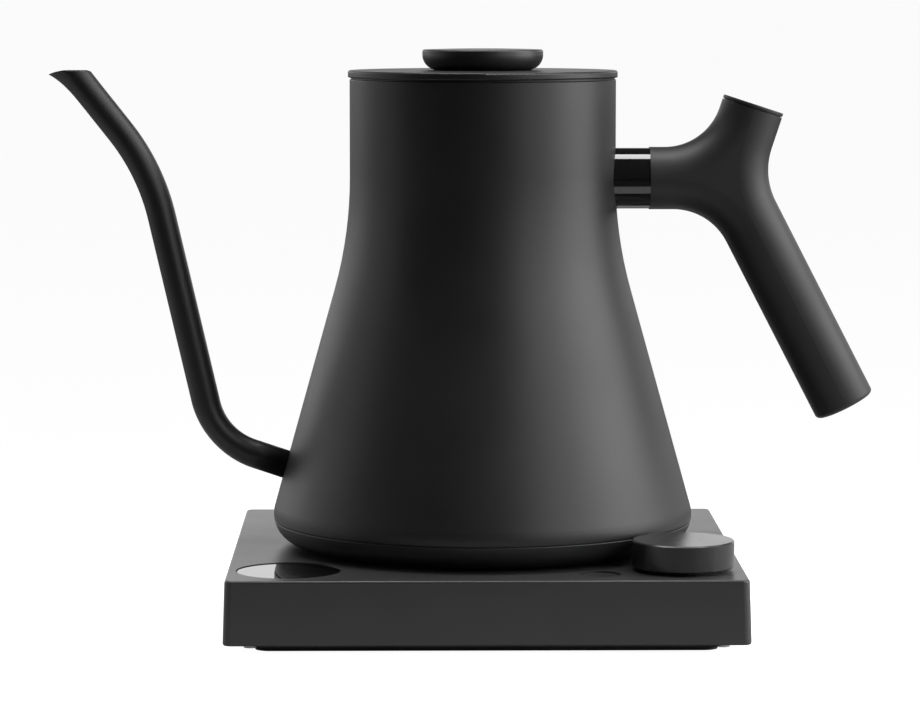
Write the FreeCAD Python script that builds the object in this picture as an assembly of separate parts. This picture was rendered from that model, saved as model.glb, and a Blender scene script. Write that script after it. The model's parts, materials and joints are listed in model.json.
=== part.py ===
import FreeCAD, Part
import math
import os
from FreeCAD import Vector

# Electric gooseneck kettle with its heating base, in millimetres, +Z up.
# The origin is on the table, under the axis that the base and the pot share.
# The spout points to -X, the handle to +X, and the display and the dial face -Y.

# ---- driving dimensions -------------------------------------------------------------

# Base unit
BASE_TOP = 25.0
SHELL_BOTTOM = 3.3
SHELL_HALF_TOP = 87.0
SHELL_HALF_BOTTOM = 87.7
SHELL_CORNER = 2.6
SHELL_EDGE = 0.8
SHELL_WALL = 2.5
SHELL_CEILING = BASE_TOP - SHELL_WALL
COVER_HALF = 79.8
COVER_BOTTOM = 1.6
COVER_TOP = 5.5
FOOT_HALF = 77.4
FOOT_WIDTH = 8.0
FOOT_HEIGHT = 2.4
CORNER_POST = 78.6

# Controls on the base: every control is given by its centre and radius
DISPLAY_X, DISPLAY_Y, DISPLAY_R = -66.4, -63.4, 17.4
DISPLAY_RECESS = 0.25
DIAL_X, DIAL_Y, DIAL_R = 66.4, -63.4, 17.2
DIAL_BOTTOM = BASE_TOP + 1.1
DIAL_TOP = BASE_TOP + 10.3
DIAL_TRAVEL = 0.6
PRESET_X, PRESET_Y, PRESET_R = 38.0, -73.0, 6.5
PRESET_RECESS = 0.5
PRESET_TRAVEL = 0.5
SHAFT_R = 3.0
RUNNING_GAP = 0.05

# Pot outline: a rounded foot, a cone, a long concave sweep and a straight neck
POT_FOOT_R = 63.15
POT_FOOT_ROUND = 10.45
POT_BOTTOM = BASE_TOP + 0.5
POT_CONE_ANGLE = 15.6
POT_SWEEP = 146.0
POT_NECK_R = 46.52
POT_RIM = BASE_TOP + 163.5
POT_WALL = 1.0
POT_RIM_ROUND = 0.45
SEAM_Z = BASE_TOP + 9.3
SEAM_GAP = 0.4
FLOOR_TOP = BASE_TOP + 21.6

# Lid
LID_R = 47.1
LID_BOTTOM = POT_RIM + 0.5
LID_EDGE_TOP = POT_RIM + 3.0
LID_KNOB_R = 21.1
LID_KNOB_FOOT_R = 15.8
LID_KNOB_TOP = POT_RIM + 10.6

# Spout, in the plane Y = 0
SPOUT_R = 4.95
SPOUT_WALL = 0.6
SPOUT_MOUTH_Z = BASE_TOP + 166.4
SPOUT_ROUTE = [(-60.0, BASE_TOP + 24.94), (-94.16, BASE_TOP + 36.38), (-116.2, BASE_TOP + 132.0),
               (-143.3, SPOUT_MOUTH_Z)]
SPOUT_BENDS = [26.0, 76.0]
SPOUT_LIP_X = -151.5
SPOUT_BACK_X = -136.7

# Handle, in the plane Y = 0: an arm, a stub and a grip meet at one point
HANDLE_R = 10.93
HANDLE_JOIN = Vector(86.3, 0.0, BASE_TOP + 128.8)
HANDLE_START_X = 58.3
STUB_TILT = 18.2
STUB_LENGTH = 27.3
GRIP_TILT = 27.35
GRIP_LENGTH = 90.2
GRIP_END_ROUND = 1.5
CAP_THICKNESS = 1.3
ARM_GRIP_FILLET = 21.2
GRIP_STUB_FILLET = 24.0
STUB_ARM_FILLET = 20.2
COLLAR_R = 10.65

# Coaxial power connector: pin radius, then the mean radius of each ring
CONNECTOR_PIN_R = 2.6
CONNECTOR_RINGS = [7.6, 12.6]
RING_BLADE = 0.8
HUB_R = 18.5
HUB_TOP = BASE_TOP + 8.0

# Boards in the base
CONTROL_BOARD_Z = 14.0
POWER_BOARD_Z = 9.0
BOARD = 1.6
SCREW_R = 1.2

# Flare of the spout's lip: how far back along the axis its two round sections stand
SPOUT_FLARE = [15.0, 8.0]

# Seam between the steel body and the plinth
SEAM_DEPTH = 0.6
SEAM_ROUND = 0.3
PLINTH_WALL = 2.2

# Inner pieces of the pot
FLOOR_SHEET = 1.0
SPREADER = 3.0
SPREADER_R = 47.0
ELEMENT_R = 42.0
ELEMENT_HALF = 3.2
PROBE_X, PROBE_Y = 26.0, 18.0
CUTOUT_PLACES = [(16.0, -27.7), (-6.0, -31.4)]
PLINTH_SCREW_R = 52.5
CONNECTOR_R = 22.0
CONNECTOR_TOP = POT_BOTTOM + 13.5
SOCKET_WELL_R = CONNECTOR_R + 0.5
WELL_TOP = POT_BOTTOM + 10.7
LEAD_R = 0.9
LEAD_LOW = POT_BOTTOM + 6.6
LID_PLUG_R = 44.4
LID_PLUG_DEPTH = 15.0
LID_SEAL_R = 45.1
LID_CROWN = 0.1
LID_KNOB_SHOULDER = LID_KNOB_TOP - 0.35

# Inner pieces of the handle
CAP_SEAM = 0.25
ROLL_SHARE = 0.995

# Inner pieces of the base
CONTROL_HOLES = [(-40.0, -76.0), (14.0, -76.0), (-44.0, -48.0), (44.0, -48.0)]
POWER_HOLES = [(-60.0, 28.0), (60.0, 28.0), (-60.0, 70.0), (60.0, 70.0)]
LINK_X = -28.0
PRESET_STEM_Z = 20.6
PRESET_DISH = 0.3
INLET_Z = 13.5
INLET_R = 5.0
INLET_BORE_R = 3.6

written = []


# ---- helpers ------------------------------------------------------------------------

def save(name, pieces):
    """Write one node: a solid, or several separate solids of the same kind."""
    if isinstance(pieces, list):
        pieces = Part.makeCompound(pieces)
    if not pieces.isValid():
        raise ValueError(name + " is not a valid shape")
    pieces.exportStep("parts/" + name + ".step")
    written.append(name)


def fuse(first, *others):
    """One solid from several that meet, with its inner seams removed."""
    return first.fuse(list(others)).removeSplitter()


def cut(shape, *tools):
    """The shape without the tools."""
    return shape.cut(list(tools))


def cylinder(radius, low, high, x=0.0, y=0.0):
    """An upright cylinder between two heights."""
    return Part.makeCylinder(radius, high - low, Vector(x, y, low))


def ring(outer, inner, low, high, x=0.0, y=0.0):
    """An upright tube between two heights."""
    return cut(cylinder(outer, low, high, x, y), cylinder(inner, low, high, x, y))


def block(width, depth, low, high, x=0.0, y=0.0):
    """A box centred on a point, between two heights."""
    return Part.makeBox(width, depth, high - low, Vector(x - width / 2, y - depth / 2, low))


def rod(radius, start, end):
    """A round bar between two points."""
    return Part.makeCylinder(radius, (end - start).Length, start, end - start)


def rounded_square(half, corner, z):
    """A square wire with rounded corners, centred on the Z axis."""
    flat = half - corner
    diagonal = flat + corner * math.sqrt(0.5)
    edges = []
    for quarter in range(4):
        turn = FreeCAD.Rotation(Vector(0, 0, 1), 90.0 * quarter)
        side = [Vector(half, -flat, z), Vector(half, flat, z)]
        bend = [Vector(half, flat, z), Vector(diagonal, diagonal, z), Vector(flat, half, z)]
        edges.append(Part.makeLine(*[turn.multVec(p) for p in side]))
        edges.append(Part.Arc(*[turn.multVec(p) for p in bend]).toShape())
    return Part.Wire(edges)


def square_slab(half_low, half_high, corner, low, high):
    """A rounded square block whose sides may lean."""
    wires = [rounded_square(half_low, corner, low), rounded_square(half_high, corner, high)]
    return Part.makeLoft(wires, True, True)


class Outline:
    """A closed outline in the XZ plane, drawn with straight lines and arcs."""

    def __init__(self, x, z):
        self.start = Vector(x, 0, z)
        self.pen = self.start
        self.edges = []

    def line(self, x, z):
        goal = Vector(x, 0, z)
        self.edges.append(Part.makeLine(self.pen, goal))
        self.pen = goal
        return self

    def arc(self, middle, end):
        through = Vector(middle[0], 0, middle[1])
        goal = Vector(end[0], 0, end[1])
        self.edges.append(Part.Arc(self.pen, through, goal).toShape())
        self.pen = goal
        return self

    def face(self):
        if (self.pen - self.start).Length > 1e-6:
            self.edges.append(Part.makeLine(self.pen, self.start))
        return Part.Face(Part.Wire(self.edges))

    def revolve(self):
        return self.face().revolve(Vector(0, 0, 0), Vector(0, 0, 1), 360)


def on_circle(centre, radius, angle):
    """A point of a circle in the XZ plane; the angle is in degrees above +X."""
    turn = math.radians(angle)
    return centre[0] + radius * math.cos(turn), centre[1] + radius * math.sin(turn)


def corner_arc(before, corner, after, radius):
    """The three points of the arc that rounds a corner between two straight runs."""
    to_before = (before - corner).normalize()
    to_after = (after - corner).normalize()
    half = to_before.getAngle(to_after) / 2
    reach = radius / math.tan(half)
    bisector = (to_before + to_after).normalize()
    centre = corner + bisector * (radius / math.sin(half))
    return corner + to_before * reach, centre - bisector * radius, corner + to_after * reach


def smooth_path(points, radii):
    """A wire of straight runs joined by tangent arcs."""
    edges = []
    pen = points[0]
    for before, corner, after, radius in zip(points, points[1:], points[2:], radii):
        start, middle, end = corner_arc(before, corner, after, radius)
        edges.append(Part.makeLine(pen, start))
        edges.append(Part.Arc(start, middle, end).toShape())
        pen = end
    edges.append(Part.makeLine(pen, points[-1]))
    return Part.Wire(edges)


def tube_along(points, radii, radius):
    """A round solid bar that follows a smooth path."""
    path = smooth_path(points, radii)
    circle = Part.Wire(Part.makeCircle(radius, points[0], points[1] - points[0]))
    return path.makePipeShell([circle], True, True)


def wire_run(points, bend=3.0):
    """One insulated wire."""
    return tube_along([Vector(*p) for p in points], [bend] * (len(points) - 2), LEAD_R)


def pan_screw(x, y, head_low, shank_length, up=1, radius=SCREW_R):
    """A pan-head screw; up=1 has its head on top and its shank below."""
    head = cylinder(2 * radius, 0, 1.4)
    shank = cylinder(radius, -shank_length, 0)
    slot = block(3.0 * radius, 0.5, 0.9, 1.4)
    screw = cut(fuse(head, shank), slot)
    if up < 0:
        screw.rotate(Vector(0, 0, 0), Vector(1, 0, 0), 180)
    screw.translate(Vector(x, y, head_low))
    return screw


# ---- pot ----------------------------------------------------------------------------

def pot_solid(inset=0.0):
    """The pot's outer form, or the same form pulled in by the wall."""
    centre = (POT_FOOT_R, POT_BOTTOM + POT_FOOT_ROUND)
    foot_round = POT_FOOT_ROUND - inset
    cone_start = on_circle(centre, foot_round, POT_CONE_ANGLE)
    neck_r = POT_NECK_R - inset
    sweep = POT_SWEEP + inset
    sweep_centre_x = neck_r + sweep
    cone_end_x = sweep_centre_x - sweep * math.cos(math.radians(POT_CONE_ANGLE))
    rise = (cone_start[0] - cone_end_x) / math.tan(math.radians(POT_CONE_ANGLE))
    cone_end = (cone_end_x, cone_start[1] + rise)
    neck_z = cone_end[1] + sweep * math.sin(math.radians(POT_CONE_ANGLE))
    middle = on_circle((sweep_centre_x, neck_z), sweep, 180 + POT_CONE_ANGLE / 2)
    outline = Outline(0, centre[1] - foot_round)
    outline.line(centre[0], centre[1] - foot_round)
    outline.arc(on_circle(centre, foot_round, -35), cone_start)
    outline.line(*cone_end)
    outline.arc(middle, (neck_r, neck_z))
    rounding = max(POT_RIM_ROUND - inset, 0)
    if rounding:
        round_centre = (neck_r - rounding, POT_RIM - rounding)
        outline.line(neck_r, round_centre[1])
        outline.arc(on_circle(round_centre, rounding, 45), (round_centre[0], POT_RIM))
    else:
        outline.line(neck_r, POT_RIM)
    return outline.line(0, POT_RIM).revolve()


def spout_form(radius, overshoot=0.0):
    """The spout as a solid bar: a bent tube that flares into a pouring lip."""
    points = [Vector(x, 0, z) for x, z in SPOUT_ROUTE]
    mouth_centre = points[-1]
    axis = (mouth_centre - points[-2]).normalize()
    points[-1] = mouth_centre - axis * SPOUT_FLARE[0]
    bar = tube_along(points, SPOUT_BENDS, radius)
    half_x = (SPOUT_BACK_X - SPOUT_LIP_X) / 2 - (SPOUT_R - radius)
    mouth = Part.Ellipse(Vector(0, 0, 0), half_x, radius + 0.25).toShape()
    mouth.translate(Vector((SPOUT_BACK_X + SPOUT_LIP_X) / 2, 0, SPOUT_MOUTH_Z))
    sections = [Part.Wire(Part.makeCircle(radius, mouth_centre - axis * back, axis))
                for back in SPOUT_FLARE]
    lip = Part.makeLoft(sections + [Part.Wire(mouth)], True, False)
    if overshoot:
        above = mouth.copy()
        above.translate(Vector(0, 0, overshoot))
        lip = lip.fuse(Part.makeLoft([Part.Wire(mouth), Part.Wire(above)], True, True))
    return fuse(bar, lip)


def make_vessel():
    """The steel body and the spout welded into it."""
    outer = pot_solid()
    inner = pot_solid(POT_WALL)
    spout = spout_form(SPOUT_R)
    bore = spout_form(SPOUT_R - SPOUT_WALL, overshoot=2.0)
    save("kettle_body", cut(outer, inner, cylinder(100, 0, SEAM_Z), spout))
    save("spout", cut(spout, bore, inner))


def element_ends():
    """Where the element's two cold pins stand, just beside its gap."""
    angle = math.radians(180 - 18.5)
    return [(ELEMENT_R * math.cos(angle), side * ELEMENT_R * math.sin(angle)) for side in (1, -1)]


def make_heating():
    """Vessel floor, heat spreader, tubular element, probe and cut-outs."""
    spreader_top = FLOOR_TOP - FLOOR_SHEET
    low = spreader_top - SPREADER
    probe_tip = cylinder(3.0, low - 4.0, FLOOR_TOP + 9.0, PROBE_X, PROBE_Y)
    probe_tip = probe_tip.makeFillet(1.4, [probe_tip.Edges[0]])
    probe = fuse(probe_tip, cylinder(5.0, low - 2.5, low, PROBE_X, PROBE_Y))
    save("temperature_probe", probe)
    floor = pot_solid(POT_WALL).common(cylinder(100, spreader_top, FLOOR_TOP))
    save("vessel_floor", cut(floor, probe))
    save("heat_spreader", cut(cylinder(SPREADER_R, low, spreader_top), probe))
    element = ring(ELEMENT_R + ELEMENT_HALF, ELEMENT_R - ELEMENT_HALF, low - 2 * ELEMENT_HALF, low)
    gap = block(ELEMENT_R * 2, 22.0, 0, 100, -ELEMENT_R, 0)
    pins = [cylinder(2.0, LEAD_LOW + LEAD_R, low - 2 * ELEMENT_HALF, x, y)
            for x, y in element_ends()]
    save("heating_element", fuse(cut(element, gap), *pins))
    cutouts = []
    for x, y in CUTOUT_PLACES:
        cup = cylinder(6.0, low - 4.0, low, x, y)
        tabs = [block(0.8, 4.0, low - 6.0, low - 4.0, x + side, y) for side in (-3.5, 3.5)]
        cutouts.append(fuse(cup, *tabs))
    save("thermal_cutouts", cutouts)


def plinth_solid():
    """The plastic bottom of the pot, with a lip that locates inside the steel body."""
    top = SEAM_Z - SEAM_GAP
    form = pot_solid().common(cylinder(100, 0, top))
    lip = pot_solid(POT_WALL).common(ring(100, 40, top - 1.0, SEAM_Z + 3.5))
    well_wall = cylinder(SOCKET_WELL_R + 2.0, POT_BOTTOM, WELL_TOP)
    rim = [edge for edge in form.Edges
           if abs(edge.BoundBox.ZMin - top) < 1e-6 and edge.BoundBox.ZLength < 1e-6]
    form = form.makeFillet(SEAM_ROUND, rim)
    shell = cut(fuse(form, lip), pot_solid(PLINTH_WALL))
    return cut(fuse(shell, well_wall), cylinder(SOCKET_WELL_R, 0, 100))


def make_plinth():
    """Plinth, its seal against the body, its screws and the studs that take them."""
    head_top = POT_BOTTOM + 2.4
    tower_top = POT_BOTTOM + 5.4
    towers, wells, screws, studs = [], [], [], []
    for angle in (60, 180, 300):
        x = PLINTH_SCREW_R * math.cos(math.radians(angle))
        y = PLINTH_SCREW_R * math.sin(math.radians(angle))
        towers.append(cylinder(5.2, POT_BOTTOM + 0.5, tower_top, x, y))
        wells.append(cylinder(3.2, 0, head_top, x, y))
        screws.append(pan_screw(x, y, head_top, 9.0, up=-1, radius=1.5))
        studs.append(cylinder(3.2, tower_top, FLOOR_TOP - FLOOR_SHEET, x, y))
    save("plinth", cut(fuse(plinth_solid(), *towers), *wells, *screws))
    save("plinth_screws", screws)
    save("plinth_studs", [cut(stud, screw) for stud, screw in zip(studs, screws)])
    seam = ring(100, 40, SEAM_Z - SEAM_GAP, SEAM_Z)
    save("plinth_seal", cut(pot_solid(SEAM_DEPTH).common(seam), pot_solid(POT_WALL)))


def make_connector():
    """The pot's half of the coaxial connector: a round housing, its pin and its rings."""
    skirt = ring(CONNECTOR_R, HUB_R + 0.6, POT_BOTTOM + 1.0, HUB_TOP)
    plate = cylinder(CONNECTOR_R, HUB_TOP, CONNECTOR_TOP)
    flange = cylinder(CONNECTOR_R + 3.0, WELL_TOP + 0.4, CONNECTOR_TOP)
    pin = cylinder(CONNECTOR_PIN_R, BASE_TOP - 1.0, CONNECTOR_TOP + 0.8)
    blades = [pin.makeFillet(1.2, [pin.Edges[2]])]
    for radius in CONNECTOR_RINGS:
        blades.append(ring(radius + RING_BLADE / 2, radius - RING_BLADE / 2,
                           BASE_TOP + 1.0, HUB_TOP + 3.0))
    save("connector_housing", cut(fuse(plate, skirt, flange), *blades))
    save("connector_blades", blades)


def make_pot_leads():
    """Two leads that run from just above the connector to the element's cold pins."""
    high = CONNECTOR_TOP + LEAD_R + 0.4
    leads = []
    for x, y in element_ends():
        side = math.copysign(1.0, y)
        points = [(-8.0, 3.0 * side, high), (-27.0, 9.0 * side, high),
                  (-34.0, 11.3 * side, LEAD_LOW), (x, y, LEAD_LOW)]
        leads.append(wire_run(points))
    save("kettle_leads", leads)


def lid_disc_form():
    """A thin disc with a rolled edge, a slight crown and a flat seat for the knob."""
    seat_z = LID_EDGE_TOP + LID_CROWN
    seat_r = LID_KNOB_FOOT_R + 0.4
    land_r = POT_NECK_R - POT_RIM_ROUND
    form = Outline(0, POT_RIM).line(land_r, POT_RIM).line(land_r, LID_BOTTOM)
    form.line(LID_R - 0.5, LID_BOTTOM)
    form.arc(on_circle((LID_R - 0.5, LID_BOTTOM + 0.5), 0.5, -45), (LID_R, LID_BOTTOM + 0.5))
    form.line(LID_R, LID_EDGE_TOP - 0.7)
    form.arc(on_circle((LID_R - 0.7, LID_EDGE_TOP - 0.7), 0.7, 45), (LID_R - 0.7, LID_EDGE_TOP))
    return form.line(seat_r, seat_z).line(0, seat_z).revolve()


def lid_knob_form():
    """A low puck whose side is a quarter-round bowl under a nearly flat top."""
    foot_z = LID_EDGE_TOP + LID_CROWN
    bowl = LID_KNOB_R - LID_KNOB_FOOT_R
    bowl_top = foot_z + bowl
    form = Outline(0, foot_z).line(LID_KNOB_FOOT_R, foot_z)
    form.arc(on_circle((LID_KNOB_FOOT_R, bowl_top), bowl, -45), (LID_KNOB_R, bowl_top))
    form.line(LID_KNOB_R, LID_KNOB_SHOULDER - 0.7)
    form.arc(on_circle((LID_KNOB_R - 0.7, LID_KNOB_SHOULDER - 0.7), 0.7, 45),
             (LID_KNOB_R - 0.7, LID_KNOB_SHOULDER))
    flat_r = LID_KNOB_R - 0.7
    crown = LID_KNOB_TOP - LID_KNOB_SHOULDER
    ball = (flat_r ** 2 + crown ** 2) / (2 * crown)
    half_way = LID_KNOB_TOP - ball + math.sqrt(ball ** 2 - flat_r ** 2 / 4)
    form.arc((flat_r / 2, half_way), (0, LID_KNOB_TOP))
    return form.revolve()


def make_lid():
    """Lid disc, its knob, the plug that drops into the neck, a seal and the screw."""
    screw = pan_screw(0, 0, POT_RIM, 8.0, up=-1, radius=2.0)
    save("lid_disc", cut(lid_disc_form(), screw))
    save("lid_knob", cut(lid_knob_form(), screw))
    save("lid_screw", screw)
    plug_low = POT_RIM - LID_PLUG_DEPTH
    wall = ring(LID_PLUG_R, LID_PLUG_R - 2.0, plug_low, POT_RIM)
    roof = cut(cylinder(LID_PLUG_R, POT_RIM - 2.0, POT_RIM), cylinder(5.0, 0, 300))
    seal_z = POT_RIM - LID_PLUG_DEPTH / 2
    groove = ring(LID_PLUG_R + 1, LID_PLUG_R - 1.0, seal_z - 1.5, seal_z + 1.5)
    save("lid_plug", cut(fuse(wall, roof), groove))
    save("lid_seal", ring(LID_SEAL_R, LID_PLUG_R - 1.0, seal_z - 1.5, seal_z + 1.5))


# ---- handle -------------------------------------------------------------------------

def in_plane(angle):
    """A unit vector in the XZ plane; the angle is in degrees above +X."""
    turn = math.radians(angle)
    return Vector(math.cos(turn), 0, math.sin(turn))


def limb_edge(direction, side, length):
    """A point on one edge of a limb's outline, so far from the join."""
    return HANDLE_JOIN + direction * length + Vector(-direction.z, 0, direction.x) * side * HANDLE_R


def web_arc(first, first_side, second, second_side, radius):
    """The three points of the arc that joins two limbs' outlines."""
    start = limb_edge(first, first_side, 0)
    other = limb_edge(second, second_side, 0)
    cross = first.x * second.z - first.z * second.x
    gap = other - start
    corner = start + first * ((gap.x * second.z - gap.z * second.x) / cross)
    return corner_arc(corner + first, corner, corner + second, radius)


def handle_form(arm, stub, grip):
    """The Y-shaped grip: a flat outline as thick as a limb, rolled over on every edge."""
    arm_length = HANDLE_JOIN.x - HANDLE_START_X
    stub_length = STUB_LENGTH - CAP_THICKNESS - CAP_SEAM
    webs = [web_arc(arm, 1, grip, -1, ARM_GRIP_FILLET), web_arc(grip, 1, stub, -1, GRIP_STUB_FILLET),
            web_arc(stub, 1, arm, -1, STUB_ARM_FILLET)]
    ends = [(limb_edge(grip, -1, GRIP_LENGTH), limb_edge(grip, 1, GRIP_LENGTH)),
            (limb_edge(stub, -1, stub_length), limb_edge(stub, 1, stub_length)),
            (limb_edge(arm, -1, arm_length), limb_edge(arm, 1, arm_length))]
    edges = []
    pen = ends[-1][1]
    for web, end in zip(webs, ends):
        edges += [Part.makeLine(pen, web[0]), Part.Arc(*web).toShape(),
                  Part.makeLine(web[2], end[0]), Part.makeLine(end[0], end[1])]
        pen = end[1]
    outline = Part.Face(Part.Wire(edges))
    form = outline.extrude(Vector(0, 2 * HANDLE_R, 0))
    form.translate(Vector(0, -HANDLE_R, 0))
    middles = [(a + b) * 0.5 for a, b in ends]
    rims = [edge for edge in form.Edges
            if abs(abs(edge.CenterOfMass.y) - HANDLE_R) < 1e-6
            and all(Vector(edge.CenterOfMass.x - m.x, 0, edge.CenterOfMass.z - m.z).Length > 1
                    for m in middles)]
    form = form.makeFillet(HANDLE_R * ROLL_SHARE, rims)
    tip = HANDLE_JOIN + grip * GRIP_LENGTH
    end_edges = [edge for edge in form.Edges
                 if abs((edge.CenterOfMass - tip).dot(grip)) < 0.01]
    return form.makeFillet(GRIP_END_ROUND, end_edges)


def make_handle():
    """Collar, stud, Y-grip with its lock screw and counterweight, and the end cap."""
    arm, stub, grip = in_plane(180), in_plane(90 - STUB_TILT), in_plane(GRIP_TILT - 90)
    axis_z = HANDLE_JOIN.z
    pot = pot_solid()
    wall_x = POT_NECK_R - 6
    collar = rod(COLLAR_R, Vector(wall_x, 0, axis_z), Vector(HANDLE_START_X, 0, axis_z))
    hollow = rod(COLLAR_R - 2.0, Vector(wall_x, 0, axis_z), Vector(HANDLE_START_X, 0, axis_z))
    save("handle_collar", cut(collar, hollow, pot))
    boss = rod(6.0, Vector(wall_x, 0, axis_z), Vector(HANDLE_START_X - 1.0, 0, axis_z))
    stud = rod(3.0, Vector(POT_NECK_R + 3.0, 0, axis_z), HANDLE_JOIN + Vector(3.0, 0, 0))
    save("handle_boss", cut(boss, stud, pot))
    cap_start = HANDLE_JOIN + stub * (STUB_LENGTH - CAP_THICKNESS)
    stub_end = HANDLE_JOIN + stub * (STUB_LENGTH - CAP_THICKNESS - CAP_SEAM)
    cap = rod(HANDLE_R, cap_start, HANDLE_JOIN + stub * STUB_LENGTH)
    cap = cap.makeFillet(0.4, [cap.Edges[0], cap.Edges[2]])
    cap_plug = rod(6.5, stub_end - stub * 4.0, cap_start)
    screw_shank = rod(2.5, HANDLE_JOIN + stub * 3.0, stub_end - stub * 10.0)
    screw_head = rod(4.0, stub_end - stub * 10.0, stub_end - stub * 6.0)
    hex_socket = rod(1.6, stub_end - stub * 9.0, stub_end - stub * 5.0)
    lock_screw = cut(fuse(screw_shank, screw_head), hex_socket)
    head_bore = rod(4.0, stub_end - stub * 6.5, stub_end - stub * 4.0)
    weight = rod(5.0, HANDLE_JOIN + grip * 26.0, HANDLE_JOIN + grip * 84.0)
    form = handle_form(arm, stub, grip)
    save("handle_grip", cut(form, stud, lock_screw, hex_socket, head_bore, cap_plug, weight))
    save("handle_end_cap", fuse(cap, cap_plug))
    save("handle_stud", cut(stud, lock_screw))
    save("handle_lock_screw", lock_screw)
    save("handle_counterweight", weight)


# ---- base unit ----------------------------------------------------------------------

def corner_places():
    """The four corner posts that hold the bottom cover."""
    return [(x, y) for x in (-CORNER_POST, CORNER_POST) for y in (-CORNER_POST, CORNER_POST)]


def make_base_housing():
    """Top shell, bottom cover, foot and the screws between them."""
    outer = square_slab(SHELL_HALF_BOTTOM, SHELL_HALF_TOP, SHELL_CORNER, SHELL_BOTTOM, BASE_TOP)
    level = [edge for edge in outer.Edges if edge.BoundBox.ZLength < 1e-6]
    outer = outer.makeFillet(SHELL_EDGE, level)
    hollow = square_slab(SHELL_HALF_BOTTOM - SHELL_WALL, SHELL_HALF_TOP - SHELL_WALL, 1.5,
                         SHELL_BOTTOM, SHELL_CEILING)
    shell = cut(outer, hollow)
    posts = []
    for x, y in corner_places():
        posts.append(cylinder(4.0, COVER_TOP, SHELL_CEILING, x, y))
    shell = fuse(shell, *posts)
    lens_seat = [cylinder(DISPLAY_R + 0.3, BASE_TOP - 1.6, BASE_TOP + 1, DISPLAY_X, DISPLAY_Y),
                 cylinder(DISPLAY_R - 2.0, 0, BASE_TOP, DISPLAY_X, DISPLAY_Y)]
    holes = [cylinder(4.0, 20, 30, DIAL_X, DIAL_Y),
             cylinder(PRESET_R + 0.3, 20, 30, PRESET_X, PRESET_Y), cylinder(HUB_R, 20, 30)]
    inlet = rod(INLET_R, Vector(0, 80, INLET_Z), Vector(0, 90, INLET_Z))
    screws = [pan_screw(x, y, COVER_BOTTOM + 1.4, 9.0, up=-1) for x, y in corner_places()]
    shell = cut(shell, *lens_seat, *holes, inlet, *screws)
    save("base_shell", shell)
    save("base_screws", screws)
    flange = square_slab(SHELL_HALF_BOTTOM - SHELL_WALL - 0.2, SHELL_HALF_BOTTOM - SHELL_WALL - 0.3,
                         1.4, SHELL_BOTTOM + 0.2, COVER_TOP)
    plateau = square_slab(COVER_HALF, COVER_HALF, 4.0, COVER_BOTTOM, SHELL_BOTTOM + 1)
    standoffs = [cylinder(3.0, COVER_TOP, CONTROL_BOARD_Z, x, y) for x, y in CONTROL_HOLES]
    standoffs += [cylinder(3.0, COVER_TOP, POWER_BOARD_Z, x, y) for x, y in POWER_HOLES]
    cover = fuse(flange, plateau, *standoffs)
    foot = cut(square_slab(FOOT_HALF, FOOT_HALF, 5.0, 0, FOOT_HEIGHT),
               square_slab(FOOT_HALF - FOOT_WIDTH, FOOT_HALF - FOOT_WIDTH, 3.0, 0, FOOT_HEIGHT))
    head_wells = [cylinder(2.6, 0, COVER_BOTTOM + 1.4, x, y) for x, y in corner_places()]
    board_screws = make_board_screws()
    save("bottom_cover", cut(cover, foot, *head_wells, *screws, *board_screws))
    save("foot_ring", cut(foot, *head_wells))


def make_board_screws():
    """Screws that hold both boards on the bottom cover's standoffs."""
    screws = [pan_screw(x, y, CONTROL_BOARD_Z + BOARD, 6.0) for x, y in CONTROL_HOLES]
    screws += [pan_screw(x, y, POWER_BOARD_Z + BOARD, 6.0) for x, y in POWER_HOLES]
    save("board_screws", screws)
    return screws


def make_display():
    """Glass lens just below the base's top, the panel below it and its holder."""
    lens = cylinder(DISPLAY_R, BASE_TOP - 1.6, BASE_TOP - DISPLAY_RECESS, DISPLAY_X, DISPLAY_Y)
    save("display_lens", lens.makeFillet(0.15, [lens.Edges[0]]))
    panel_low = SHELL_CEILING - 2.4
    save("display_panel", block(24.0, 20.0, panel_low, SHELL_CEILING, DISPLAY_X, DISPLAY_Y))
    frame = block(24.0, 20.0, CONTROL_BOARD_Z + BOARD, panel_low, DISPLAY_X, DISPLAY_Y)
    save("display_holder", cut(frame, block(20.0, 16.0, 0, 30, DISPLAY_X, DISPLAY_Y)))


def make_control_board():
    """The front board and what it carries."""
    top = CONTROL_BOARD_Z + BOARD
    board = block(148.0, 34.0, CONTROL_BOARD_Z, top, 0, -62.0)
    holes = [cylinder(SCREW_R, 0, 30, x, y) for x, y in CONTROL_HOLES]
    save("control_board", cut(board, *holes))
    chip = block(9.0, 9.0, top, top + 1.2, -14.0, -58.0)
    save("control_chips", [chip, block(5.0, 4.0, top, top + 1.4, -2.0, -70.0)])
    buzzer = cut(cylinder(6.0, top, top + 5.5, 4.0, -60.0), cylinder(1.0, top + 4.5, 30, 4.0, -60.0))
    save("buzzer", buzzer)
    body = block(6.2, 6.2, top, top + 3.4, PRESET_X, PRESET_Y)
    plunger = cylinder(1.6, top + 3.4, PRESET_STEM_Z - PRESET_TRAVEL - 0.1, PRESET_X, PRESET_Y)
    save("preset_switch", fuse(body, plunger))


def make_preset_button():
    """A small dished button, sunk in the base's top and held from below by a flange."""
    top = BASE_TOP - PRESET_RECESS
    button = cylinder(PRESET_R, PRESET_STEM_Z + 0.8, top, PRESET_X, PRESET_Y)
    flange = cylinder(PRESET_R + 1.4, SHELL_CEILING - 1.0, SHELL_CEILING, PRESET_X, PRESET_Y)
    stem = cylinder(2.0, PRESET_STEM_Z, PRESET_STEM_Z + 1.0, PRESET_X, PRESET_Y)
    dish_r = (PRESET_R ** 2 + PRESET_DISH ** 2) / (2 * PRESET_DISH)
    dish = Part.makeSphere(dish_r, Vector(PRESET_X, PRESET_Y, top - PRESET_DISH + dish_r))
    save("preset_button", cut(fuse(button, flange, stem), dish))


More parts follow.
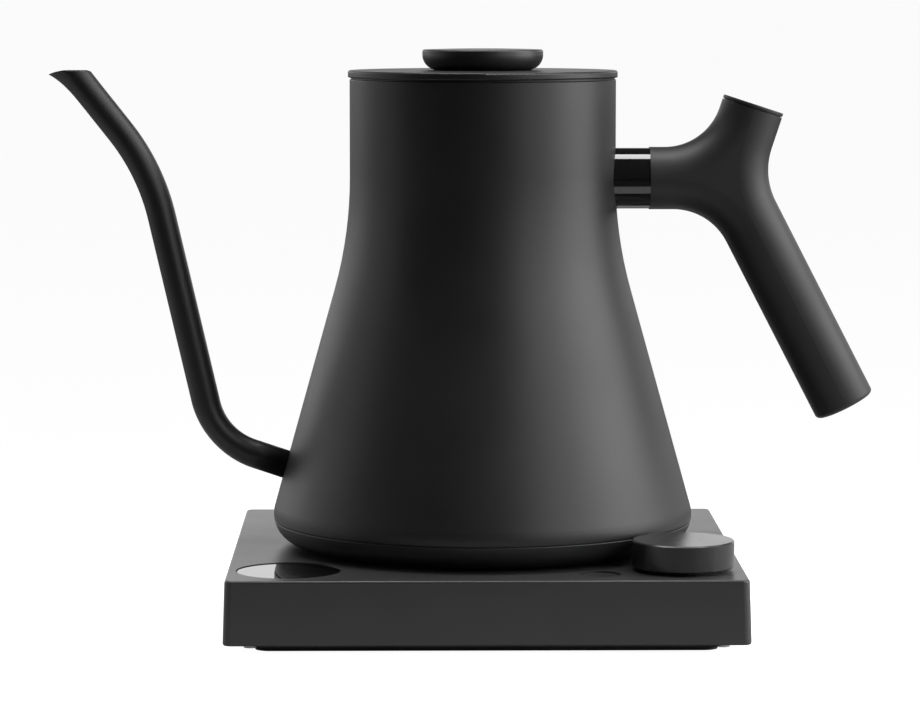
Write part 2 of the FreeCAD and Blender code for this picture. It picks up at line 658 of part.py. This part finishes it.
def d_section(radius, flat, low, high):
    """An upright bar on the dial's axis with one flat side."""
    bar = cylinder(radius, low, high, DIAL_X, DIAL_Y)
    shave = Part.makeBox(4 * radius, 4 * radius, high - low,
                         Vector(DIAL_X - 2 * radius, DIAL_Y + flat, low))
    return cut(bar, shave)


def make_dial():
    """Encoder, its rotor, and the shaft and knob that turn it and press its switch."""
    low = CONTROL_BOARD_Z + BOARD
    rotor_low, rotor_high = low + 2.4, low + 4.4
    case = block(12.0, 12.0, low, SHELL_CEILING, DIAL_X, DIAL_Y)
    bushing = cylinder(4.0, SHELL_CEILING, BASE_TOP + 0.4, DIAL_X, DIAL_Y)
    bore = cylinder(SHAFT_R + RUNNING_GAP, low, BASE_TOP + 1, DIAL_X, DIAL_Y)
    chamber = cylinder(5.3, rotor_low - 0.3, rotor_high + 0.3, DIAL_X, DIAL_Y)
    save("encoder_body", cut(fuse(case, bushing), bore, chamber))
    rotor = cylinder(5.0, rotor_low, rotor_high, DIAL_X, DIAL_Y)
    keyed = d_section(SHAFT_R + RUNNING_GAP, 1.6 + RUNNING_GAP, rotor_low, rotor_high)
    save("encoder_rotor", cut(rotor, keyed))
    hub_low, hub_high = DIAL_BOTTOM + 1.6, DIAL_TOP - 2.3
    shaft_low = low + DIAL_TRAVEL + 0.6
    shoulder = rotor_high + DIAL_TRAVEL + 0.4
    key = d_section(SHAFT_R, 1.6, shaft_low, shoulder)
    shaft = fuse(key, cylinder(SHAFT_R, shoulder, hub_high - 0.5, DIAL_X, DIAL_Y))
    save("dial_shaft", shaft)
    save("encoder_dome", cylinder(2.4, low, low + 0.4, DIAL_X, DIAL_Y))
    cap = cylinder(DIAL_R, DIAL_BOTTOM, DIAL_TOP, DIAL_X, DIAL_Y)
    cap = cap.makeChamfer(0.45, [cap.Edges[0], cap.Edges[2]])
    save("dial_knob", cut(cap, cylinder(DIAL_R - 2.0, 0, hub_high, DIAL_X, DIAL_Y)))
    web = cylinder(DIAL_R - 2.0, hub_high - 2.5, hub_high, DIAL_X, DIAL_Y)
    boss = cylinder(6.0, hub_low, hub_high, DIAL_X, DIAL_Y)
    save("dial_insert", cut(fuse(web, boss), shaft))


def make_socket():
    """The base's half of the coaxial connector: a hub with one well and two ring grooves."""
    floor = 11.0
    hub = fuse(cylinder(HUB_R, SHELL_CEILING - 1, HUB_TOP), cylinder(16.5, floor, SHELL_CEILING),
               cylinder(24.0, SHELL_CEILING - 3.0, SHELL_CEILING))
    rim = [edge for edge in hub.Edges
           if abs(edge.BoundBox.ZMin - HUB_TOP) < 1e-6 and edge.BoundBox.ZLength < 1e-6]
    hub = hub.makeFillet(1.2, rim)
    wells = [cylinder(CONNECTOR_PIN_R + 1.1, floor + 3.0, HUB_TOP + 1)]
    sleeves = [ring(CONNECTOR_PIN_R + 1.1, CONNECTOR_PIN_R + 0.5, floor + 3.0, BASE_TOP + 2.0)]
    for radius in CONNECTOR_RINGS:
        wells.append(ring(radius + 1.6, radius - 1.4, floor + 5.0, HUB_TOP + 1))
        sleeves.append(ring(radius + 1.6, radius + 0.9, floor + 5.0, BASE_TOP + 2.0))
    hub = cut(hub, *wells)
    screws = [pan_screw(21.0 * math.cos(math.radians(a)), 21.0 * math.sin(math.radians(a)),
                        SHELL_CEILING - 3.0, 4.0, up=-1) for a in (45, 165, 285)]
    save("power_socket", cut(hub, *screws))
    save("socket_contacts", sleeves)


def make_power_board():
    """The rear board and its parts."""
    top = POWER_BOARD_Z + BOARD
    board = block(128.0, 50.0, POWER_BOARD_Z, top, 0, 49.0)
    save("power_board", cut(board, *[cylinder(SCREW_R, 0, 30, x, y) for x, y in POWER_HOLES]))
    save("power_relay", block(28.0, 12.0, top, top + 10.0, -42.0, 42.0))
    core = block(22.0, 18.0, top, top + 11.0, 38.0, 60.0)
    winding = block(16.0, 24.0, top + 1.5, top + 9.5, 38.0, 60.0)
    save("transformer", fuse(core, winding))
    cans = [cylinder(4.0, top, top + 10.5, 14.0, 34.0), cylinder(4.0, top, top + 10.5, 26.0, 34.0),
            block(15.0, 6.0, top, top + 9.0, 10.0, 50.0)]
    save("capacitors", cans)
    fuse_link = block(10.0, 4.0, top, top + 7.0, 10.0, 60.0)
    save("mains_fuse", fuse_link)
    save("terminal_block", block(22.0, 9.0, top, top + 9.0, -20.0, 66.0))


def make_inlet():
    """The rubber bush that the supply cord enters through."""
    start, end = Vector(0, 82.0, INLET_Z), Vector(0, 88.6, INLET_Z)
    bush = rod(INLET_R, start, end)
    inner_flange = rod(INLET_R + 1.6, Vector(0, 82.0, INLET_Z), Vector(0, 84.0, INLET_Z))
    outer_flange = rod(INLET_R + 1.6, Vector(0, 87.9, INLET_Z), end)
    hole = rod(INLET_BORE_R, Vector(0, 80, INLET_Z), Vector(0, 90, INLET_Z))
    save("cord_inlet_bush", cut(fuse(bush, inner_flange, outer_flange), hole))


def make_base_leads():
    """Leads from the terminal block to the socket's underside."""
    height = POWER_BOARD_Z + BOARD + 5.0
    leads = []
    for x in (-26.0, -20.0, -14.0):
        points = [(x, 61.5, height), (x, 52.0, height), (x * 0.5, 30.0, height + 1.0),
                  (x * 0.25, 16.9, height + 1.0)]
        leads.append(wire_run(points, bend=5.0))
    save("base_leads", leads)


def make_board_link():
    """The flat cable between the boards and the header at each of its ends."""
    low_header_z = POWER_BOARD_Z + BOARD
    high_header_z = CONTROL_BOARD_Z + BOARD
    headers = [block(14.0, 5.0, low_header_z, low_header_z + 4.0, LINK_X, 28.0),
               block(14.0, 5.0, high_header_z, high_header_z + 4.0, LINK_X, -48.5)]
    save("board_headers", headers)
    low, high = low_header_z + 1.5, high_header_z + 1.5
    thick = 0.8
    corners = [(-46.0, high), (-38.0, high), (16.0, low), (25.5, low),
               (25.5, low + thick), (16.0, low + thick), (-38.0, high + thick), (-46.0, high + thick)]
    points = [Vector(LINK_X - 5.0, y, z) for y, z in corners]
    face = Part.Face(Part.makePolygon(points + [points[0]]))
    save("ribbon_cable", face.extrude(Vector(10.0, 0, 0)))


def main():
    os.makedirs("parts", exist_ok=True)
    make_vessel()
    make_heating()
    make_plinth()
    make_connector()
    make_pot_leads()
    make_lid()
    make_handle()
    make_base_housing()
    make_display()
    make_control_board()
    make_preset_button()
    make_dial()
    make_socket()
    make_power_board()
    make_inlet()
    make_base_leads()
    make_board_link()
    print(len(written), "nodes")


main()
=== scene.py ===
import json
import math

import bmesh
import bpy
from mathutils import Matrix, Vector


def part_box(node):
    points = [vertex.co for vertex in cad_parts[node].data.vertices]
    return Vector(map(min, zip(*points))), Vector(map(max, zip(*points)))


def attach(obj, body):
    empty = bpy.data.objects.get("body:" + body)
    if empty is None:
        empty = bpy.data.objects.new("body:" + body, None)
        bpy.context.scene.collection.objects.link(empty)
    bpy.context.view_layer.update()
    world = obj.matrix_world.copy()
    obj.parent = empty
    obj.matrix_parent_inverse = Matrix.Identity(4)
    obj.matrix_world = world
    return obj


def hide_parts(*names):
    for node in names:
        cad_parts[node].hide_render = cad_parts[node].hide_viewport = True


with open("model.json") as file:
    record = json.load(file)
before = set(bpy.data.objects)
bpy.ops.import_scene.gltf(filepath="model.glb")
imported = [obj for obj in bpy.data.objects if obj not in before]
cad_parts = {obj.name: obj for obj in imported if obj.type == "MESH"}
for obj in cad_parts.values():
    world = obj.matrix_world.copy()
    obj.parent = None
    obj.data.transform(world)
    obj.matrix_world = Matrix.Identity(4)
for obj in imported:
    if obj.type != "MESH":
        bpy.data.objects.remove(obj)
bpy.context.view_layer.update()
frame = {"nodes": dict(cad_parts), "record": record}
nodes = frame["nodes"]

# ---- named values, in metres and degrees ---------------------------------------------

CAMERA_PLACE = (-0.02486, -1.30247, 0.2175)
CAMERA_YAW = 0.744
CAMERA_PITCH = 5.452
CAMERA_LENS = 145.56
SENSOR_WIDTH = 36.0

# The floor is pale to other surfaces only in a band around the object, between these two fades in Y.
FLOOR_HALF = 400.0
FLOOR_GLOW = 0.96
FLOOR_DARK = (0.03, 0.03, 0.03)
FLOOR_PALE = (0.50, 0.50, 0.50)
TABLE_FRONT = (-0.30, -0.24)
TABLE_BACK = (0.10, 0.40)

# The studio's radiance in front of the object, on the backdrop behind it, and as the camera sees it.
FRONT_RADIANCE = 0.035
BACKDROP_RADIANCE = 1.8
SEEN_RADIANCE = 1.0
BACKDROP_DEPTH_FADE = (0.25, 0.85)
BACKDROP_HEIGHT_FADE = (0.22, 0.42)

# Softboxes: place, aim, width, height, radiance
SOFTBOXES = {
    "overhead": ((0.0, 0.045, 1.35), (0.0, 0.045, 0.0), 1.5, 0.50, 8.0),
    "right": ((1.19, -0.12, 0.62), (0.0, 0.0, 0.13), 1.10, 1.25, 5.0),
    "right_front": ((0.86, -1.02, 0.66), (0.0, 0.0, 0.13), 0.42, 1.2, 3.2),
    "left": ((-1.18, 0.46, 0.45), (0.0, 0.0, 0.13), 1.5, 1.1, 0.8),
}

# Spout: points are (x, z) from the corner of its CAD box at the tip and the rim.
SPOUT_RADIUS = 0.00495
SPOUT_BORE = 0.00435
SPOUT_SIDES = 72
SPOUT_START = (0.082694, -0.13855)
SPOUT_CORNERS = [(0.057334, -0.13002), (0.035294, -0.0344)]
SPOUT_BENDS = [0.026, 0.076]
SPOUT_MOUTH = (0.008194, 0.0)
STRAIGHT_STEPS = 8
BEND_PINCH = 0.94
LIP_LENGTH = 0.0125
LIP_BACK = 0.014794
LIP_TIP = 0.000024
LIP_HALF_WIDTH = 0.0049
LIP_TAPER = 0.22
LIP_FALL_START = 0.006194
LIP_FALL = 0.00135
LIP_BACK_FALL = 0.0003
LIP_BACK_FALL_LENGTH = 0.0016
LIP_TIP_SLOPE = 28.0
LIP_TURN_POWER = 1.5
RIM_THICKNESS = 0.00048
RIM_CROWN = 0.00012

# Handle end cap: its place is (x, z) from the far top corner of its CAD box.
CAP_PLACE = (-0.010684, -0.004544)
CAP_TILT = 18.2
CAP_SIDES = 96
CAP_THICKNESS = 0.0013
CAP_SEAM = 0.00024
CAP_PLUG_RADIUS = 0.0064
CAP_PLUG_LENGTH = 0.0042
CAP_POLE = 0.00005
CAP_SHARP_ANGLE = 35


# ---- node helpers --------------------------------------------------------------------

class Shader:
    """One node material under construction."""

    def __init__(self, name):
        self.material = bpy.data.materials.new(name)
        self.material.use_nodes = True
        self.tree = self.material.node_tree
        self.principled = self.tree.nodes["Principled BSDF"]
        self.place = self.add("ShaderNodeTexCoord").outputs["Object"]

    def add(self, kind, **settings):
        node = self.tree.nodes.new(kind)
        for name, value in settings.items():
            setattr(node, name, value)
        return node

    def link(self, start, end):
        self.tree.links.new(start, end)

    def set(self, **values):
        for name, value in values.items():
            self.principled.inputs[name.replace("_", " ")].default_value = value

    def noise(self, scale, detail=2.0, roughness=0.5):
        node = self.add("ShaderNodeTexNoise")
        node.inputs["Scale"].default_value = scale
        node.inputs["Detail"].default_value = detail
        node.inputs["Roughness"].default_value = roughness
        self.link(self.place, node.inputs["Vector"])
        return node.outputs["Fac"]

    def spread(self, value, low, high, start=0.3, end=0.7):
        """Maps a value to a range between two numbers."""
        node = self.add("ShaderNodeMapRange", clamp=True)
        node.inputs["From Min"].default_value = start
        node.inputs["From Max"].default_value = end
        node.inputs["To Min"].default_value = low
        node.inputs["To Max"].default_value = high
        self.link(value, node.inputs["Value"])
        return node.outputs["Result"]

    def tint(self, value, dark, light):
        """Colours the surface between two colours by a noise value."""
        ramp = self.add("ShaderNodeMix", data_type="RGBA")
        ramp.inputs["A"].default_value = (*dark, 1.0)
        ramp.inputs["B"].default_value = (*light, 1.0)
        self.link(value, ramp.inputs["Factor"])
        self.link(ramp.outputs["Result"], self.principled.inputs["Base Color"])

    def rough(self, value, low, high):
        self.link(self.spread(value, low, high), self.principled.inputs["Roughness"])

    def bump(self, heights, depths):
        """Bump from one or more height fields, each with its own depth in metres."""
        normal = None
        for height, depth in zip(heights, depths):
            node = self.add("ShaderNodeBump")
            node.inputs["Strength"].default_value = 1.0
            node.inputs["Distance"].default_value = depth
            self.link(height, node.inputs["Height"])
            if normal is not None:
                self.link(normal, node.inputs["Normal"])
            normal = node.outputs["Normal"]
        self.link(normal, self.principled.inputs["Normal"])


def coated(name, dark, light, rough_low, rough_high, grain, grain_depth, wave_depth):
    """A sprayed or moulded black: fine grain, slow waviness and slightly uneven gloss."""
    shader = Shader(name)
    broad = shader.noise(24.0, 3.0)
    fine = shader.noise(grain, 2.0, 0.6)
    shader.tint(shader.spread(broad, 0.0, 1.0), dark, light)
    shader.rough(broad, rough_low, rough_high)
    shader.bump([fine, shader.noise(160.0, 1.0)], [grain_depth, wave_depth])
    shader.set(IOR=1.5)
    return shader.material


def metal(name, colour, rough_low, rough_high):
    """Bare metal with a fine machined grain."""
    shader = Shader(name)
    grain = shader.noise(900.0, 3.0, 0.7)
    dark = tuple(0.86 * c for c in colour)
    shader.tint(shader.spread(grain, 0.0, 1.0), dark, colour)
    shader.rough(grain, rough_low, rough_high)
    shader.bump([grain], [0.00001])
    shader.set(Metallic=1.0)
    return shader.material


def moulded(name, colour, rough_low, rough_high):
    """Any plainer plastic or rubber with a moulded grain."""
    shader = Shader(name)
    broad = shader.noise(60.0, 3.0)
    lighter = tuple(min(1.0, 1.25 * c + 0.002) for c in colour)
    shader.tint(shader.spread(broad, 0.0, 1.0), colour, lighter)
    shader.rough(broad, rough_low, rough_high)
    shader.bump([shader.noise(2600.0, 2.0)], [0.000012])
    return shader.material


def glossy(name, colour, roughness, ior):
    """Polished black: only a trace of waviness and dust breaks its mirror."""
    shader = Shader(name)
    dust = shader.noise(420.0, 4.0, 0.6)
    shader.tint(shader.spread(dust, 0.0, 1.0, 0.45, 0.8), colour, tuple(c + 0.004 for c in colour))
    shader.rough(dust, roughness, roughness + 0.03)
    shader.bump([shader.noise(70.0, 1.0)], [0.000004])
    shader.set(IOR=ior)
    return shader.material


# Colours from dark to light, roughness from low to high, grain scale, grain depth, wave depth
COATED = {
    "pot_coating": ((0.004, 0.004, 0.0043), (0.007, 0.007, 0.0073),
                    0.44, 0.50, 2400.0, 0.000006, 0.00001),
    "base_coating": ((0.026, 0.026, 0.0265), (0.030, 0.030, 0.0305),
                     0.33, 0.39, 2800.0, 0.000014, 0.000006),
    "grip_plastic": ((0.010, 0.010, 0.0103), (0.013, 0.013, 0.0133),
                     0.50, 0.56, 3000.0, 0.000012, 0.000008),
    "knob_plastic": ((0.011, 0.0106, 0.0103), (0.014, 0.0136, 0.0133),
                     0.38, 0.44, 3000.0, 0.00001, 0.000006),
    "plinth_plastic": ((0.016, 0.016, 0.0165), (0.020, 0.020, 0.0205),
                       0.36, 0.44, 3200.0, 0.000008, 0.000004),
    "dial_metal": ((0.014, 0.014, 0.0145), (0.018, 0.018, 0.0185),
                   0.24, 0.29, 3600.0, 0.000012, 0.0),
}

# Colour, roughness, refractive index
GLOSSY = {
    "collar_gloss": ((0.006, 0.006, 0.0065), 0.02, 1.75),
    "display_glass": ((0.003, 0.003, 0.0035), 0.015, 1.5),
}

# Colour, roughness from low to high
METALS = {
    "inner_steel": ((0.56, 0.55, 0.54), 0.28, 0.40),
    "spreader_aluminium": ((0.74, 0.74, 0.75), 0.30, 0.42),
    "contact_brass": ((0.76, 0.56, 0.26), 0.24, 0.34),
    "screw_steel": ((0.50, 0.50, 0.51), 0.30, 0.42),
}
MOULDED = {
    "black_rubber": ((0.014, 0.014, 0.014), 0.62, 0.74),
    "seal_silicone": ((0.006, 0.006, 0.006), 0.5, 0.6),
    "inner_plastic": ((0.030, 0.030, 0.030), 0.46, 0.56),
    "board_laminate": ((0.015, 0.11, 0.05), 0.30, 0.38),
    "component_plastic": ((0.04, 0.04, 0.045), 0.40, 0.5),
    "lead_insulation": ((0.50, 0.46, 0.38), 0.55, 0.65),
    "ribbon_plastic": ((0.38, 0.38, 0.40), 0.42, 0.5),
}


def make_materials():
    """One material for each of the record's material slots."""
    made = {}
    for make, table in ((coated, COATED), (glossy, GLOSSY), (metal, METALS), (moulded, MOULDED)):
        for name, values in table.items():
            made[name] = make(name, *values)
    return made


def dress_cad_nodes(materials):
    """Gives every CAD node the material of its own slot."""
    for part in frame["record"]["subparts"]:
        mesh = nodes[part["node"]].data
        mesh.materials.clear()
        mesh.materials.append(materials[part["material_slot"]])


# ---- rows of points and the skin over them -----------------------------------------------

def in_plane(x, z):
    return Vector((x, 0.0, z))


def from_corner(corner, offset):
    """A point in the middle plane, given as (x, z) from a corner."""
    return in_plane(corner.x + offset[0], corner.z + offset[1])


def ring(centre, heading, radius, squeeze=0.0, sides=SPOUT_SIDES):
    """A loop of points square to the heading; squeeze narrows it in the middle plane."""
    normal = in_plane(heading.z, -heading.x)
    across = radius * (1 - (1 - BEND_PINCH) * squeeze)
    row = []
    for side in range(sides):
        angle = 2 * math.pi * side / sides
        row.append(centre + across * math.cos(angle) * normal
                   + radius * math.sin(angle) * Vector((0, 1, 0)))
    return row


def grid_mesh(name, rows, closed):
    """A smooth skin over rows of points; each row is a loop."""
    count = len(rows[0])
    vertices = [tuple(point) for row in rows for point in row]
    faces = []
    last = len(rows) if closed else len(rows) - 1
    for r in range(last):
        here, there = r * count, (r + 1) % len(rows) * count
        for k in range(count):
            following = (k + 1) % count
            faces.append((here + k, here + following, there + following, there + k))
    mesh = bpy.data.meshes.new(name)
    mesh.from_pydata(vertices, [], faces)
    mesh.update()
    shape = bmesh.new()
    shape.from_mesh(mesh)
    bmesh.ops.recalc_face_normals(shape, faces=shape.faces)
    shape.to_mesh(mesh)
    shape.free()
    mesh.shade_smooth()
    piece = bpy.data.objects.new(name, mesh)
    bpy.context.scene.collection.objects.link(piece)
    return piece


# ---- spout -------------------------------------------------------------------------------

def bent_path(points, bends, steps=40):
    """Centre line as (point, direction, squeeze) rows: straight runs joined by round bends."""
    start_heading = (points[1] - points[0]).normalized()
    rows = [(points[0], start_heading, 0.0)]
    for index, radius in enumerate(bends):
        before = (points[index + 1] - points[index]).normalized()
        after = (points[index + 2] - points[index + 1]).normalized()
        turn = before.angle(after)
        first = points[index + 1] - before * radius * math.tan(turn / 2)
        side = (after - before * before.dot(after)).normalized()
        for step in range(steps + 1):
            part = step / steps
            angle = turn * part
            place = first + before * radius * math.sin(angle) + side * radius * (1 - math.cos(angle))
            heading = before * math.cos(angle) + side * math.sin(angle)
            rows.append((place, heading, math.sin(math.pi * part) if index == 0 else 0.0))
    return rows


def smooth(value):
    value = min(max(value, 0.0), 1.0)
    return value * value * (3 - 2 * value)


def lip_rim(corner, angle, inset):
    """A point on the mouth's rim; the angle runs from the back (0) to the tip (pi)."""
    front = (1 - math.cos(angle)) / 2
    x = LIP_BACK + (LIP_TIP - LIP_BACK) * front
    y = LIP_HALF_WIDTH * math.sin(angle) * (1 - LIP_TAPER * front ** 3)
    fall = max(0.0, (LIP_FALL_START - x) / (LIP_FALL_START - LIP_TIP)) ** 2 * LIP_FALL
    fall += LIP_BACK_FALL * smooth(1 - (LIP_BACK - x) / LIP_BACK_FALL_LENGTH)
    centre = in_plane((LIP_BACK + LIP_TIP) / 2, 0)
    out = Vector((x, y, 0)) - centre
    flat = centre + out * (1 - inset / out.length)
    return Vector((corner.x + flat.x, flat.y, corner.z - fall))


def curve(t, start, leave, end, arrive):
    """A point on the cubic from start to end with the given directions at its ends."""
    return ((2 * t ** 3 - 3 * t ** 2 + 1) * start + (t ** 3 - 2 * t ** 2 + t) * leave
            + (3 * t ** 2 - 2 * t ** 3) * end + (t ** 3 - t ** 2) * arrive)


def lip_rows(corner, centre, axis, radius, inset, count=26):
    """Rows of the lip, from the tube's last ring to the rim."""
    slope = math.radians(LIP_TIP_SLOPE)
    tip_heading = in_plane(-math.cos(slope), math.sin(slope))
    starts = ring(centre, axis, radius)
    rows = [[] for _ in range(count)]
    for side, start in enumerate(starts):
        angle = 2 * math.pi * side / SPOUT_SIDES
        front = (1 - math.cos(angle)) / 2
        end = lip_rim(corner, angle, inset)
        span = (end - start).length
        arrive = axis.lerp(tip_heading, smooth(front) ** LIP_TURN_POWER).normalized() * span
        for step, row in enumerate(rows, 1):
            row.append(curve(step / count, start, axis * span, end, arrive))
    return rows


def make_spout(material):
    """The bent tube and its pouring lip, with the bore inside it."""
    low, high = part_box("spout")
    corner = in_plane(low.x, high.z)
    points = [from_corner(corner, offset) for offset in (SPOUT_START, *SPOUT_CORNERS, SPOUT_MOUTH)]
    path = bent_path(points, SPOUT_BENDS)
    last_place, axis, _ = path[-1]
    lip_start = points[-1] - axis * LIP_LENGTH
    for step in range(1, STRAIGHT_STEPS + 1):
        path.append((last_place.lerp(lip_start, step / STRAIGHT_STEPS), axis, 0.0))
    outside = [ring(place, heading, SPOUT_RADIUS, squeeze) for place, heading, squeeze in path]
    inside = [ring(place, heading, SPOUT_BORE, squeeze) for place, heading, squeeze in path]
    outside += lip_rows(corner, lip_start, axis, SPOUT_RADIUS, 0.0)
    inside += lip_rows(corner, lip_start, axis, SPOUT_BORE, RIM_THICKNESS)
    edge = [(a + b) / 2 + in_plane(0, RIM_CROWN) for a, b in zip(outside[-1], inside[-1])]
    spout = grid_mesh("spout_tube", outside + [edge] + inside[::-1], True)
    spout.data.materials.append(material)
    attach(spout, "kettle")
    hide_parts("spout")


# ---- handle end cap ----------------------------------------------------------------------

def cap_profile(edge):
    """(radius, height) from the plug's bottom to the top face: plug, shoulder, rounded disc."""
    plug = [(0.0, -CAP_PLUG_LENGTH), (CAP_PLUG_RADIUS, -CAP_PLUG_LENGTH), (CAP_PLUG_RADIUS, -CAP_SEAM)]
    shoulder = [(edge - 0.00083, -CAP_SEAM), (edge - 0.00053, -0.00020), (edge - 0.00053, 0.0)]
    lower = [(edge - 0.00038, 0.0), (edge - 0.00011, 0.00008), (edge, 0.00032)]
    upper = [(edge, 0.00095), (edge - 0.00008, 0.00118), (edge - 0.00031, CAP_THICKNESS)]
    return plug + shoulder + lower + upper + [(0.0, CAP_THICKNESS)]


def make_end_cap(material):
    """The stub's round cap, with a shoulder under its edge that closes the seam to the grip."""
    tilt = math.radians(CAP_TILT)
    axis = in_plane(math.sin(tilt), math.cos(tilt))
    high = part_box("handle_end_cap")[1]
    place = from_corner(high, CAP_PLACE)
    rows = [ring(place + axis * height, axis, max(radius, CAP_POLE), sides=CAP_SIDES)
            for radius, height in cap_profile(high.y)]
    cap = grid_mesh("end_cap", rows, False)
    cap.data.set_sharp_from_angle(angle=math.radians(CAP_SHARP_ANGLE))
    cap.data.materials.append(material)
    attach(cap, "kettle")
    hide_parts("handle_end_cap")


# ---- camera, floor and light -----------------------------------------------------------

def make_camera():
    """A long lens in front of the object, looking slightly down."""
    camera = bpy.data.objects.new("camera", bpy.data.cameras.new("camera"))
    bpy.context.scene.collection.objects.link(camera)
    camera.data.lens = CAMERA_LENS
    camera.data.sensor_width = SENSOR_WIDTH
    camera.data.clip_end = 1000.0
    camera.location = CAMERA_PLACE
    camera.rotation_euler = (math.radians(90.0 - CAMERA_PITCH), 0.0, math.radians(-CAMERA_YAW))
    bpy.context.scene.camera = camera


def make_floor():
    """A wide white floor: it glows to the camera and reflects light only near the object."""
    mesh = bpy.data.meshes.new("floor")
    corners = [(x * FLOOR_HALF, y * FLOOR_HALF, 0) for x, y in ((-1, -1), (1, -1), (1, 1), (-1, 1))]
    mesh.from_pydata(corners, [], [(0, 1, 2, 3)])
    floor = bpy.data.objects.new("floor", mesh)
    bpy.context.scene.collection.objects.link(floor)
    shader = Shader("floor_white")
    shader.set(Roughness=0.9, Specular_IOR_Level=0.0)
    along = shader.add("ShaderNodeSeparateXYZ")
    shader.link(shader.place, along.inputs["Vector"])
    table = shader.add("ShaderNodeMath", operation="MULTIPLY")
    shader.link(shader.spread(along.outputs["Y"], 0.0, 1.0, *TABLE_FRONT), table.inputs[0])
    shader.link(shader.spread(along.outputs["Y"], 1.0, 0.0, *TABLE_BACK), table.inputs[1])
    shader.tint(table.outputs["Value"], FLOOR_DARK, FLOOR_PALE)
    seen = shader.add("ShaderNodeLightPath").outputs["Is Camera Ray"]
    glow = shader.add("ShaderNodeMath", operation="MULTIPLY")
    glow.inputs[1].default_value = FLOOR_GLOW
    shader.link(seen, glow.inputs[0])
    shader.set(Emission_Color=(1.0, 1.0, 1.0, 1.0))
    shader.link(glow.outputs["Value"], shader.principled.inputs["Emission Strength"])
    mesh.materials.append(shader.material)


def make_softboxes():
    """Rectangular lamps that the camera itself doesn't see."""
    for name, (place, aim, width, height, radiance) in SOFTBOXES.items():
        light = bpy.data.lights.new(name, "AREA")
        light.shape = "RECTANGLE"
        light.size = width
        light.size_y = height
        light.energy = math.pi * width * height * radiance
        box = bpy.data.objects.new(name, light)
        bpy.context.scene.collection.objects.link(box)
        box.location = place
        ahead = Vector(aim) - Vector(place)
        if ahead.xy.length > 0:
            box.rotation_euler = ahead.to_track_quat("-Z", "Y").to_euler()
        box.visible_camera = False


def make_world():
    """A white studio: dim in front, and a bright low backdrop behind the object."""
    world = bpy.data.worlds.new("studio")
    bpy.context.scene.world = world
    world.use_nodes = True
    tree = world.node_tree
    tree.nodes.clear()

    def add(kind, **settings):
        node = tree.nodes.new(kind)
        for name, value in settings.items():
            setattr(node, name, value)
        return node

    def ramp(source, start, end, low, high):
        node = add("ShaderNodeMapRange", interpolation_type="SMOOTHSTEP")
        for name, value in (("From Min", start), ("From Max", end), ("To Min", low), ("To Max", high)):
            node.inputs[name].default_value = value
        tree.links.new(source, node.inputs["Value"])
        return node.outputs["Result"]

    def times(first, second):
        node = add("ShaderNodeMath", operation="MULTIPLY")
        tree.links.new(first, node.inputs[0])
        tree.links.new(second, node.inputs[1])
        return node.outputs["Value"]

    direction = add("ShaderNodeTexCoord").outputs["Generated"]
    axes = add("ShaderNodeSeparateXYZ")
    tree.links.new(direction, axes.inputs["Vector"])
    behind = ramp(axes.outputs["Y"], *BACKDROP_DEPTH_FADE, 0.0, 1.0)
    low = ramp(axes.outputs["Z"], *BACKDROP_HEIGHT_FADE, 1.0, 0.0)
    backdrop = times(behind, low)
    strength = ramp(backdrop, 0.0, 1.0, FRONT_RADIANCE, BACKDROP_RADIANCE)
    studio = add("ShaderNodeBackground")
    tree.links.new(strength, studio.inputs["Strength"])
    seen = add("ShaderNodeBackground")
    seen.inputs["Strength"].default_value = SEEN_RADIANCE
    path = add("ShaderNodeLightPath")
    mix = add("ShaderNodeMixShader")
    tree.links.new(path.outputs["Is Camera Ray"], mix.inputs["Fac"])
    tree.links.new(studio.outputs["Background"], mix.inputs[1])
    tree.links.new(seen.outputs["Background"], mix.inputs[2])
    output = add("ShaderNodeOutputWorld")
    tree.links.new(mix.outputs["Shader"], output.inputs["Surface"])


bpy.context.scene.view_settings.view_transform = "Standard"
make_camera()
make_floor()
make_softboxes()
make_world()
materials = make_materials()
dress_cad_nodes(materials)
make_spout(materials["pot_coating"])
make_end_cap(materials["grip_plastic"])
